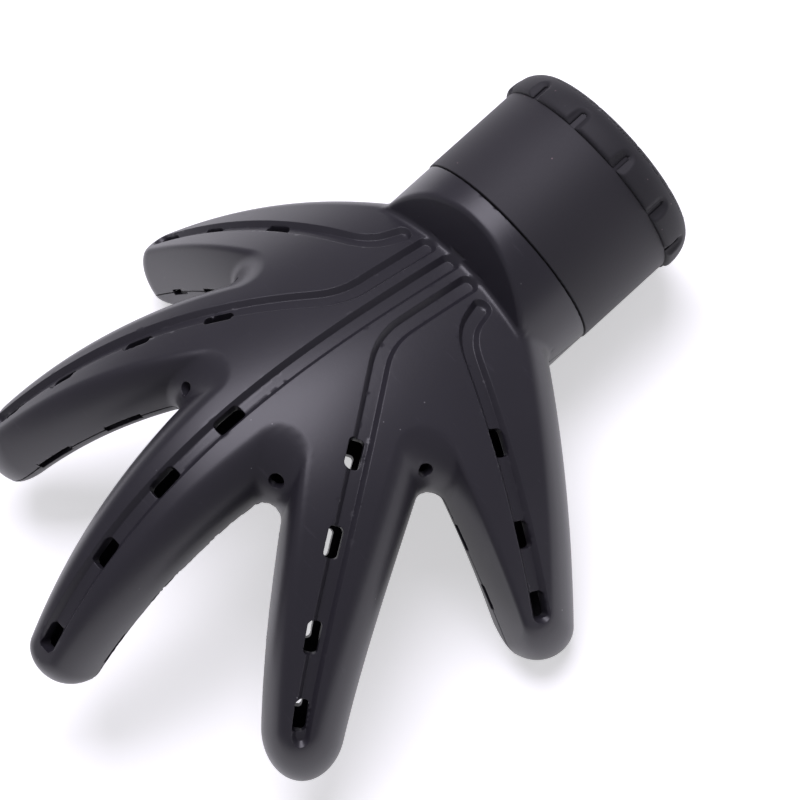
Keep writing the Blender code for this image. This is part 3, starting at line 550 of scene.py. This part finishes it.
# %% A socket with operators
class Wire:
    def __init__(self, tree, socket):
        self.tree, self.socket = tree, socket

    def maths(self, kind, *values):
        return self.node("ShaderNodeMath", {"operation": kind}, dict(enumerate(values)))

    def node(self, kind, settings, sockets, output=0):
        """Add a node: its settings first, then the values or links of its sockets."""
        node = self.tree.nodes.new(kind)
        for name, value in settings.items():
            setattr(node, name, value)
        for name, value in sockets.items():
            if isinstance(value, Wire):
                self.tree.links.new(value.socket, node.inputs[name])
            else:
                node.inputs[name].default_value = value
        return Wire(self.tree, node.outputs[output])

    def __add__(self, other):
        return self.maths("ADD", self, other)

    def __radd__(self, other):
        return self.maths("ADD", other, self)

    def __sub__(self, other):
        return self.maths("SUBTRACT", self, other)

    def __rsub__(self, other):
        return self.maths("SUBTRACT", other, self)

    def __mul__(self, other):
        return self.maths("MULTIPLY", self, other)

    def __rmul__(self, other):
        return self.maths("MULTIPLY", other, self)

    def clamped(self):
        return self.node("ShaderNodeClamp", {}, {"Value": self})

    def ramped(self, low, high, to_low=0.0, to_high=1.0):
        """The value moved from one range to another, held at both ends."""
        ends = {"From Min": low, "From Max": high, "To Min": to_low, "To Max": to_high}
        return self.node("ShaderNodeMapRange", {"interpolation_type": "SMOOTHSTEP"}, {"Value": self, **ends})

    def mixed(self, first, second):
        """first where this is 0 and second where it is 1; both are colours."""
        return self.node("ShaderNodeMix", {"data_type": "RGBA"}, {"Factor": self, 6: first, 7: second}, 2)

    def noise(self, scale, detail=2.0, roughness=0.5):
        """Cloudy noise with this wire as the place; scale is in spots per metre."""
        return self.node("ShaderNodeTexNoise", {}, {"Vector": self, "Scale": scale, "Detail": detail,
                                                    "Roughness": roughness})

    def cells(self, scale):
        """Distance to the nearest of many scattered points."""
        return self.node("ShaderNodeTexVoronoi", {}, {"Vector": self, "Scale": scale})


def new_finish(name):
    """A material, its shader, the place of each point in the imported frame, and how sharp its edges are."""
    material = bpy.data.materials.new(name)
    material.use_nodes = True
    tree = material.node_tree
    shader = tree.nodes["Principled BSDF"]
    start = Wire(tree, None)
    place = start.node("ShaderNodeTexCoord", {}, {}, "Object")
    edge = start.node("ShaderNodeNewGeometry", {}, {}, "Pointiness")
    return material, shader, place, edge


def connect(shader, **sockets):
    """Link wires or set values on a shader's sockets, whose names are written with _ for a space."""
    tree = shader.id_data
    for name, value in sockets.items():
        socket = shader.inputs[name.replace("_", " ")]
        if isinstance(value, Wire):
            tree.links.new(value.socket, socket)
        else:
            socket.default_value = value


def colour(red, green, blue):
    return (red, green, blue, 1.0)


def shaded(tone, factor, lift=0.0):
    """A tone made lighter or darker by a factor."""
    return colour(*[c * factor + lift for c in tone])


def bump(height, strength, depth_mm, edge_mm=0.3):
    """Relief on a surface whose crisp edges are shaded as if broken by a radius of edge_mm."""
    soft = height.node("ShaderNodeBevel", {"samples": 6}, {"Radius": edge_mm / 1000})
    return height.node("ShaderNodeBump", {}, {"Height": height, "Strength": strength,
                                              "Distance": depth_mm / 1000, "Normal": soft})


# %% [markdown]
# ## Satin moulded plastic
# The shells are charcoal plastic from a spark-eroded mould: a very fine even grain that scatters a
# highlight into a soft sheen. The same skin has faint waves where the wall cooled unevenly, hairline
# scuffs, and a little dust that shows only on dark plastic. Edges that are handled are slightly smoother.

# %% The shell finish
def shell_finish(name, tone, roughness, grain=1.0):
    material, shader, place, edge = new_finish(name)
    cloud = place.noise(22.0, 3.0)
    fine = place.noise(2600.0, 2.0, 0.6)
    coarse_grain = place.noise(900.0, 1.0)
    scuff_place = place.node("ShaderNodeMapping", {}, {"Vector": place, "Scale": (30.0, 260.0, 60.0),
                                                       "Rotation": (0.2, 0.1, 0.7)})
    scuffs = scuff_place.noise(3.0, 4.0, 0.7).ramped(0.62, 0.72)
    dust = place.cells(210.0).ramped(0.05, 0.028) * place.noise(60.0, 1.0).ramped(0.55, 0.6)
    worn = edge.ramped(0.56, 0.64)
    base = cloud.ramped(0.3, 0.7).mixed(shaded(tone, 0.93), shaded(tone, 1.08))
    base = (scuffs * 0.18).mixed(base, shaded(tone, 2.4, 0.01))
    base = (dust * 0.5).mixed(base, colour(0.32, 0.31, 0.32))
    gloss = roughness + (cloud - 0.5) * 0.08 + (fine - 0.5) * 0.10 + scuffs * 0.05 - worn * 0.05
    relief = fine * 0.6 + coarse_grain * 0.4 + scuffs * 0.05
    connect(shader, Base_Color=base, Roughness=gloss.clamped(), Normal=bump(relief, 0.32 * grain, 0.05))
    shader.inputs["Specular IOR Level"].default_value = 0.5
    shader.inputs["IOR"].default_value = 1.5
    return material


SHELL = shell_finish("satin_charcoal_plastic", (0.022, 0.0205, 0.0265), 0.36)
INNER = shell_finish("glass_filled_nylon", (0.030, 0.029, 0.032), 0.5, 1.6)
JAW = shell_finish("grey_jaw_nylon", (0.06, 0.058, 0.062), 0.48, 1.4)
BEZEL = shell_finish("bezel_plastic", (0.018, 0.0175, 0.021), 0.4, 1.2)

# %% [markdown]
# ## Soft-touch rubber
# The collar has a rubbery coating. It is matte: light falls off it evenly, with a faint velvety rise at
# grazing angles and no sharp highlight. Dust clings to it as tiny pale and pinkish specks.

# %% The rubber finishes
def rubber_finish(name, tone, roughness, sheen, specks=1.0):
    material, shader, place, edge = new_finish(name)
    cloud = place.noise(16.0, 3.0)
    grain = place.noise(1900.0, 2.0, 0.65)
    dust = place.cells(260.0).ramped(0.075, 0.045) * place.noise(95.0, 1.0).ramped(0.56, 0.62)
    tint = place.noise(70.0, 0.0).ramped(0.45, 0.55)
    speck = tint.mixed(colour(0.30, 0.31, 0.36), colour(0.34, 0.22, 0.24))
    base = cloud.ramped(0.3, 0.7).mixed(shaded(tone, 0.92), shaded(tone, 1.08))
    base = (edge.ramped(0.54, 0.62) * 0.25).mixed(base, shaded(tone, 1.9))
    base = (dust * 0.55 * specks).mixed(base, speck)
    gloss = roughness + (cloud - 0.5) * 0.10 + (grain - 0.5) * 0.08
    connect(shader, Base_Color=base, Roughness=gloss.clamped(), Normal=bump(grain, 0.3, 0.06))
    shader.inputs["Specular IOR Level"].default_value = 0.38
    shader.inputs["Sheen Weight"].default_value = sheen
    shader.inputs["Sheen Roughness"].default_value = 0.45
    return material


SLEEVE = rubber_finish("soft_touch_coating", (0.026, 0.0245, 0.029), 0.60, 0.05)
GRIP = rubber_finish("moulded_grip_rubber", (0.022, 0.021, 0.0245), 0.66, 0.04, 0.5)
PAD = rubber_finish("silicone_pad", (0.03, 0.03, 0.03), 0.75, 0.05, 0.3)

# %% [markdown]
# ## Steel
# Screws and the clip ring are plated or oiled steel. Turning and tumbling leave fine scratches, so the
# roughness changes in streaks and the colour goes a little warmer where oil stays.

# %% The steel finish
def steel_finish(name, tone, roughness):
    material, shader, place, edge = new_finish(name)
    streak_place = place.node("ShaderNodeMapping", {}, {"Vector": place, "Scale": (900.0, 60.0, 900.0)})
    streaks = streak_place.noise(1.0, 3.0, 0.6)
    stain = place.noise(240.0, 2.0).ramped(0.5, 0.7)
    base = (stain * 0.5).mixed(colour(*tone), colour(tone[0] * 0.8, tone[1] * 0.74, tone[2] * 0.64))
    gloss = roughness + (streaks - 0.5) * 0.18 + stain * 0.08 - edge.ramped(0.52, 0.6) * 0.06
    connect(shader, Base_Color=base, Roughness=gloss.clamped(), Normal=bump(streaks, 0.2, 0.02))
    shader.inputs["Metallic"].default_value = 1.0
    return material


STEEL = steel_finish("plated_steel", (0.52, 0.53, 0.55), 0.28)
SPRING = steel_finish("oiled_spring_steel", (0.40, 0.39, 0.38), 0.34)

# %% [markdown]
# ## Dressing a piece
# Each new mesh stands for a piece of the CAD model. It rides the body that the CAD piece is on, so that it
# moves with the joints, and the CAD piece it stands for is hidden.

# %% The shells, dressed
def dress(piece, finish, body, slot, *nodes):
    """Give a new piece its finish and its body, and hide the CAD nodes it stands for; the slot argument is
    not used.
    """
    piece.data.materials.clear()
    piece.data.materials.append(finish)
    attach(piece, body)
    if nodes:
        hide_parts(*nodes)
    return piece


dress(back_shell, SHELL, "hand", "shell_plastic", "back_shell")
dress(palm_shell, SHELL, "hand", "shell_plastic", "palm_shell")

# %% [markdown]
# ## The collar sleeve
# A plain tube with a soft-touch coating. Its front edge is broken by a small chamfer beside the seam, and
# its rear end is turned down for the grip ring. A turned part is a profile swept round the neck's axis.

# %% Turned parts
def turned(name, profile, steps=180):
    """A closed profile of (radius, y) points swept round the neck's axis."""
    verts, faces = [], []
    count = len(profile)
    for step in range(steps):
        angle = 2 * math.pi * step / steps
        verts += [(r * math.cos(angle), y, r * math.sin(angle)) for r, y in profile]
        for i in range(count):
            j, after = (i + 1) % count, (step + 1) % steps
            faces.append((step * count + i, step * count + j, after * count + j, after * count + i))
    area = sum(r * y2 - r2 * y for (r, y), (r2, y2) in zip(profile, profile[1:] + profile[:1]))
    if area > 0:
        faces = [face[::-1] for face in faces]
    return mesh_piece(name, verts, faces, 30.0)


def rounded(profile, radius=0.25, steps=3):
    """The profile with each corner rounded by a short curve."""
    points = []
    count = len(profile)
    for i, corner in enumerate(profile):
        here = Vector(corner)
        before, after = Vector(profile[i - 1]), Vector(profile[(i + 1) % count])
        reach = min(radius, (before - here).length * 0.4, (after - here).length * 0.4)
        start = here + (before - here).normalized() * reach
        end = here + (after - here).normalized() * reach
        for k in range(steps + 1):
            t = k / steps
            points.append(tuple(start.lerp(here, t).lerp(here.lerp(end, t), t)))
    return points


COLLAR_RADIUS, COLLAR_BORE, GRIP_SEAT, LIP_RADIUS = 31.3, 30.0, 30.9, 28.4
SEAM_GAP, FRONT_LIP, SEAT_END = 0.5, 2.4, -36.0
LIP_REAR, SHOULDER = -SEAM_GAP - FRONT_LIP, -COLLAR_LENGTH - 0.3
sleeve_profile = [(LIP_RADIUS, LIP_REAR), (COLLAR_BORE, LIP_REAR), (COLLAR_BORE, SEAT_END),
                  (GRIP_SEAT, SEAT_END), (GRIP_SEAT, SHOULDER), (COLLAR_RADIUS, SHOULDER),
                  (COLLAR_RADIUS, -SEAM_GAP), (LIP_RADIUS, -SEAM_GAP)]
sleeve = turned("collar_sleeve", rounded(sleeve_profile))
dress(sleeve, SLEEVE, "collar", "sleeve_soft_touch", "clamp_collar")

# %% [markdown]
# ## The grip ring
# A rubber ring wraps the domed rear end of the collar. Twelve scooped notches give the fingers a hold. Each
# is a shallow round trough that starts at the ring's front edge and runs out where the dome falls away.

# %% Grip ring
GRIP_RADIUS, DOME_DROP, DOME_DEPTH = 32.6, 5.4, 8.3
NOTCH_COUNT, NOTCH_TROUGH, NOTCH_DEPTH, NOTCH_LENGTH = 12, 3.25, 1.35, 7.6
RING_FRONT = -COLLAR_LENGTH - 0.45
RING_CELL = 0.36


def dome(radius, y):
    """A cylinder whose rear end is rounded off along an ellipse."""
    out = np.maximum(radius - GRIP_RADIUS + DOME_DROP, 0) / DOME_DROP
    back = np.maximum(REAR + DOME_DEPTH - y, 0) / DOME_DEPTH
    return (np.hypot(out, back) - 1) * DOME_DROP


def nearest_turn(x, z, count):
    """The angle from the nearest of count even directions round the neck, the first of which points up."""
    pitch = 2 * math.pi / count
    return (np.arctan2(x, z) + pitch / 2) % pitch - pitch / 2


def grip_ring_field(x, y, z):
    radius = np.hypot(x, z)
    body = common(dome(radius, y), y - RING_FRONT, 1.5)
    body = without(body, radius - np.where(y > SEAT_END - PLAY, GRIP_SEAT + PLAY, COLLAR_BORE))
    turn = nearest_turn(x, z, NOTCH_COUNT)
    across = radius * np.sin(turn)
    up = radius * np.cos(turn) - (GRIP_RADIUS - NOTCH_DEPTH + NOTCH_TROUGH)
    past_end = np.maximum(RING_FRONT - NOTCH_LENGTH + NOTCH_TROUGH - y, 0.0)
    scoop = np.sqrt(across ** 2 + up ** 2 + past_end ** 2) - NOTCH_TROUGH
    return without(body, scoop, 0.5)


verts, quads = contour(grip_ring_field, (0, REAR - 1, -34.5), (34.5, RING_FRONT + 1, 34.5), RING_CELL)
grip = mesh_piece("grip_ring_rubber", verts, quads)
dress(grip, GRIP, "collar", "grip_rubber", "grip_ring")

# %% [markdown]
# ## The inner tube and the rear ring
# A stiff nylon tube sits in the neck and reaches back through the collar. Its flange guides the six jaws in
# short straight slots. A ring closes the collar's rear end and hides the works.

# %% Where the clamp's layers lie along the neck
SOCKET_RADIUS, INSERT_OUTER = 25.6, 27.4
insert_low, insert_high = (corner * 1000 - Vector(SEAM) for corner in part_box("neck_insert"))
bezel_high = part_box("rear_bezel")[1] * 1000 - Vector(SEAM)
jaw_low, jaw_high = (corner * 1000 - Vector(SEAM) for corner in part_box("jaw_1"))
pad_low, pad_high = (corner * 1000 - Vector(SEAM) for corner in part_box("jaw_pad_1"))
FLANGE_REAR, INSERT_FRONT, BEZEL_FRONT = insert_low.y, insert_high.y, bezel_high.y
JAW_REAR, JAW_FRONT = pad_low.y - 0.2, pad_high.y + 0.2
JAW_COUNT = 6
KEY_WIDTH, KEY_OUTER, FLANGE_THICKNESS = 3.0, 27.8, 2.0
FRONT_FIT = 0.3            # gap between the tube and the neck round it
print("flange rear", round(FLANGE_REAR, 2), "jaws", round(JAW_REAR, 2), round(JAW_FRONT, 2))


# %% Inner tube
def insert_field(x, y, z):
    radius = np.hypot(x, z)
    outer = np.where(y > -0.15, NECK_RADIUS - WALL - FRONT_FIT, INSERT_OUTER)
    tube = common(radius - outer, FLANGE_REAR - y, EDGE_ROUND)
    tube = common(tube, neck_block(x, y, z, WALL + FRONT_FIT, REAR))
    tube = common(tube, y - INSERT_FRONT, EDGE_ROUND)
    flange = common(radius - COLLAR_BORE + 0.25, y - FLANGE_REAR - FLANGE_THICKNESS, EDGE_ROUND)
    flange = common(flange, FLANGE_REAR - y, EDGE_ROUND)
    solid = without(together(tube, flange, 0.5), radius - SOCKET_RADIUS, 0.5)
    turn = nearest_turn(x, z, JAW_COUNT)
    guide = common(np.abs(radius * np.sin(turn)) - KEY_WIDTH / 2 - PLAY, y - FLANGE_REAR - 1.6)
    guide = common(guide, radius - KEY_OUTER - 1.3)
    solid = without(solid, guide, 0.15)
    for seat in SEATS[2:]:
        solid = without(solid, screw_room(np.abs(x), y, z, *seat))
    return solid


verts, quads = contour(insert_field, (0, FLANGE_REAR - 1, -31), (31, INSERT_FRONT + 1, 31), 0.45)
insert = mesh_piece("neck_tube", verts, quads)
dress(insert, INNER, "hand", "nylon", "neck_insert")


# %% Rear ring, with a chamfered mouth that leads the dryer's nozzle in
MOUTH_CHAMFER = 1.1
LINE_RADIUS, LINE_WIDTH, LINE_DEPTH = 28.9, 0.5, 0.9
DIMPLE_RADIUS, DIMPLE_RING, DIMPLE_RAISE = 1.35, 28.0, 0.9


def bezel_field(x, y, z):
    radius = np.hypot(x, z)
    ends = common(y - BEZEL_FRONT, common(REAR - y, dome(radius, y)))
    ring = common(radius - COLLAR_BORE + 0.3, ends, EDGE_ROUND)
    ring = without(ring, radius - SOCKET_RADIUS, EDGE_ROUND)
    ring = common(ring, (SOCKET_RADIUS + MOUTH_CHAMFER + REAR) - radius - y, EDGE_ROUND)
    groove = common(np.abs(radius - LINE_RADIUS) - LINE_WIDTH / 2, y - REAR - LINE_DEPTH)
    turn = nearest_turn(x, z, NOTCH_COUNT)
    across, out = radius * np.sin(turn), radius * np.cos(turn) - DIMPLE_RING
    dimple = np.sqrt(across ** 2 + out ** 2 + (y - REAR + DIMPLE_RAISE) ** 2) - DIMPLE_RADIUS
    return without(without(ring, groove, 0.15), dimple, 0.15)


verts, quads = contour(bezel_field, (0, REAR - 1, -31), (31, BEZEL_FRONT + 1, 31), RING_CELL)
bezel = mesh_piece("collar_rear_ring", verts, quads)
dress(bezel, BEZEL, "collar", "bezel_plastic", "rear_bezel")

# %% [markdown]
# ## Six jaws and their pads
# Each jaw is a short curved block with a key that runs in the flange and a pin that runs in the scroll
# plate. Its rubber pad has fine ribs to hold the nozzle. One jaw is made facing up, and its mesh is turned
# round the neck for the other five.

# %% Jaws and ribbed pads
JAW_OUTER, PAD_FACE, PAD_THICKNESS, PIN_RADIUS, PIN_SEAT = 28.4, 24.2, 1.7, 0.6, 27.6
JAW_HALF_ANGLE, PAD_HALF_ANGLE = math.radians(17.0), math.radians(15.0)
JAW_MIDDLE, PAD_MIDDLE = 27.0, 25.0   # the radii at which an angle is turned into a length
WINDOW_ANGLE, WINDOW_HALF = math.radians(8.5), 1.9
RIB_DEPTH, RIBS_PER_RADIAN = 0.28, 36.0


def jaw_field(x, y, z):
    """The top jaw: a curved block with two sunk windows in its front, a key and a pin."""
    radius, turn = np.hypot(x, z), np.arctan2(x, z)
    side = (np.abs(turn) - JAW_HALF_ANGLE) * JAW_MIDDLE
    block = common(radius - JAW_OUTER, PAD_FACE + PAD_THICKNESS + PLAY - radius, EDGE_ROUND)
    block = common(block, side, 0.5)
    block = common(block, common(JAW_REAR - y, y - JAW_FRONT, EDGE_ROUND), EDGE_ROUND)
    window = np.abs(np.abs(turn) - WINDOW_ANGLE) * JAW_MIDDLE - WINDOW_HALF
    window = common(window, np.abs(radius - 27.1) - 0.55, 0.4)
    block = without(block, common(window, JAW_FRONT - 2.2 - y), 0.15)
    key = common(np.abs(x) - KEY_WIDTH / 2, y - jaw_high.y, 0.2)
    key = common(key, common(z - KEY_OUTER, PAD_FACE + PAD_THICKNESS + 0.3 - z, 0.2))
    key = common(key, JAW_FRONT - 0.5 - y)
    pin = common(np.hypot(x, z - PIN_SEAT) - PIN_RADIUS, jaw_low.y - y, 0.2)
    pin = common(pin, y - JAW_REAR - 0.5)
    return together(together(block, key, 0.15), pin, 0.1)


def pad_field(x, y, z):
    """The top jaw's pad, with ribs along the face that grips."""
    radius, turn = np.hypot(x, z), np.arctan2(x, z)
    side = (np.abs(turn) - PAD_HALF_ANGLE) * PAD_MIDDLE
    ribs = RIB_DEPTH * (1 - np.abs(np.cos(turn * RIBS_PER_RADIAN)))
    block = common(radius - PAD_FACE - PAD_THICKNESS + PLAY, PAD_FACE + ribs - radius, 0.15)
    return common(common(block, side, 0.5), common(pad_low.y - y, y - pad_high.y, 0.4), 0.4)


def turned_copy(name, verts, quads, number):
    """The piece turned to the place of jaw number 1 to 6, counted from the top one."""
    turn = Matrix.Rotation(-(number - 1) * 2 * math.pi / JAW_COUNT, 3, "Y")
    return mesh_piece(name, verts @ np.array(turn).T, quads)


jaw_mesh = contour(jaw_field, (0, jaw_low.y - 0.6, 22.5), (9.5, jaw_high.y + 0.6, 29.5), 0.2)
pad_mesh = contour(pad_field, (0, pad_low.y - 0.6, 22.5), (8.0, pad_high.y + 0.6, 27.0), 0.16)
for number in range(1, JAW_COUNT + 1):
    jaw = turned_copy(f"jaw_body_{number}", *jaw_mesh, number)
    dress(jaw, JAW, f"jaw_slider_{number}", "jaw_nylon", f"jaw_{number}")
    pad = turned_copy(f"jaw_pad_ribbed_{number}", *pad_mesh, number)
    dress(pad, PAD, f"jaw_slider_{number}", "jaw_rubber", f"jaw_pad_{number}")
    middle = (Vector(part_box(f"jaw_{number}")[0]) + Vector(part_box(f"jaw_{number}")[1])) / 2
    own = np.array([v.co for v in jaw.data.vertices])
    gap = (Vector((own.min(0) + own.max(0)) / 2) - middle).length
    print(f"jaw {number} lies {gap * 1000:.2f} mm from its CAD node")

# %% [markdown]
# ## Screws
# Small pan-head screws with a cross recess. The head is a low dome and the recess is two crossed slots that
# narrow with depth.

# %% Screws
RECESS_ARM = 1.45


def screw_field(x, y, z):
    """A screw that points up, with the seat under its head at the origin."""
    radius = np.hypot(x, y)
    crown = np.sqrt(radius ** 2 + (z - 2.6) ** 2) - 3.9
    head = common(common(radius - HEAD_RADIUS + 0.05, crown, 0.4), z, 0.15)
    shank = common(radius - SHANK_RADIUS + 0.08 * np.cos(z * 9.0), common(z - 11.5, -z - 0.4), 0.3)
    body = together(head, shank, 0.2)
    narrow = 0.42 + 0.12 * (-z - 0.6)
    along_y = np.maximum(np.abs(x) - narrow, np.abs(y) - RECESS_ARM)
    along_x = np.maximum(np.abs(y) - narrow, np.abs(x) - RECESS_ARM)
    return without(body, common(np.minimum(along_y, along_x), z + 0.45), 0.1)


long_screw, quads = contour(screw_field, (0, -3.1, -1.8), (3.1, 3.1, 12.2), 0.16)
depth = long_screw[:, 2]
short_screw = long_screw.copy()
short_screw[:, 2] = np.where(depth > 1.0, 1.0 + (depth - 1.0) * 0.12, depth)
screws = []
for boss in BOSSES:
    x, y, z = head_seat(*boss)
    for s in (1, -1):
        screws.append(((s * x, y, z), Vector((0, 0, 1)), f"shell_screw_{len(screws) + 1}", long_screw))
for number, s in enumerate((1, -1), 1):
    (x, y, z), aim = INSERT_SCREW_SEAT, INSERT_SCREW_AIM
    screws.append(((s * x, y, z), Vector((s * aim[0], 0, aim[2])), f"insert_screw_{number}", short_screw))
for seat, direction, node, shape in screws:
    turn = np.array(direction.to_track_quat("Z", "Y").to_matrix())
    screw = mesh_piece(f"{node}_cross_head", shape @ turn.T + np.array(seat), quads, 30.0)
    dress(screw, STEEL, "hand", "screw_steel", node)

# %% [markdown]
# ## Pieces hidden inside the collar
# The scroll plate, the clip ring and the friction ring can't be seen once the clamp is put together. Their
# CAD meshes are good enough, so they only get a finish.

# %% CAD pieces that keep their shape
kept = (("scroll_plate", INNER, "nylon"), ("retaining_ring", SPRING, "spring_steel"),
        ("friction_ring", PAD, "elastomer"))
for node, finish, slot in kept:
    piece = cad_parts[node]
    piece.data.materials.clear()
    piece.data.materials.append(finish)
print("kept CAD pieces:", ", ".join(node for node, _, _ in kept))

# %% [markdown]
# ## A plain studio
# The hand lies palm down on a seamless pale sheet. The light is one wide soft box above, on the collar's
# side, which draws the long sheens, and an even surround. The sheet glows a little, which keeps it white.

# %% Floor
def pale_floor():
    size = 3.0
    mesh = bpy.data.meshes.new("pale_floor")
    corners = [(-size, -size, 0), (size, -size, 0), (size, size, 0), (-size, size, 0)]
    mesh.from_pydata(corners, [], [(0, 1, 2, 3)])
    floor = bpy.data.objects.new("pale_floor", mesh)
    bpy.context.scene.collection.objects.link(floor)
    material, shader, place, _ = new_finish("white_sheet")
    speckle = place.noise(350.0, 2.0)
    connect(shader, Base_Color=speckle.mixed(colour(0.93, 0.93, 0.93), colour(0.96, 0.96, 0.96)),
            Roughness=speckle.ramped(0.3, 0.7, 0.75, 0.85))
    shader.inputs["Emission Color"].default_value = colour(1.0, 1.0, 1.0)
    shader.inputs["Emission Strength"].default_value = 0.5
    mesh.materials.append(material)


pale_floor()

# %% Lights
def soft_box(name, place, aim, width, height, power, tint=(1.0, 1.0, 1.0)):
    light = bpy.data.lights.new(name, "AREA")
    light.shape, light.size, light.size_y = "RECTANGLE", width, height
    light.energy, light.color = power, tint
    lamp = bpy.data.objects.new(name, light)
    bpy.context.scene.collection.objects.link(lamp)
    lamp.location = place
    lamp.rotation_euler = (Vector(aim) - Vector(place)).to_track_quat("-Z", "Y").to_euler()


world = bpy.data.worlds.new("even_surround")
world.use_nodes = True
surround = world.node_tree.nodes["Background"]
surround.inputs["Color"].default_value = colour(1.0, 0.965, 1.09)
surround.inputs["Strength"].default_value = 0.27
bpy.context.scene.world = world
soft_box("overhead_box", (0.44, -0.40, 1.58), (0.0, 0.0, 0.03), 1.25, 0.95, 20.0, (1.0, 0.96, 1.1))
bpy.context.scene.view_settings.view_transform = "Standard"

# %% [markdown]
# ## The camera
# A long lens from above the little finger's side, looking down at the back of the hand.

# %% Camera
def look():
    lens = bpy.data.cameras.new("camera")
    lens.lens, lens.sensor_width, lens.clip_start = 135.0, 36.0, 0.05
    camera = bpy.data.objects.new("camera", lens)
    bpy.context.scene.collection.objects.link(camera)
    right = (-0.6571, -0.7330, -0.1756)
    up = (0.6373, -0.6647, 0.3900)
    back = (-0.4026, 0.1444, 0.9039)
    turn = Matrix((right, up, back)).transposed().to_4x4()
    camera.matrix_world = Matrix.Translation(to_frame((-337.2, 166.4, 731.2))) @ turn
    bpy.context.scene.camera = camera


look()
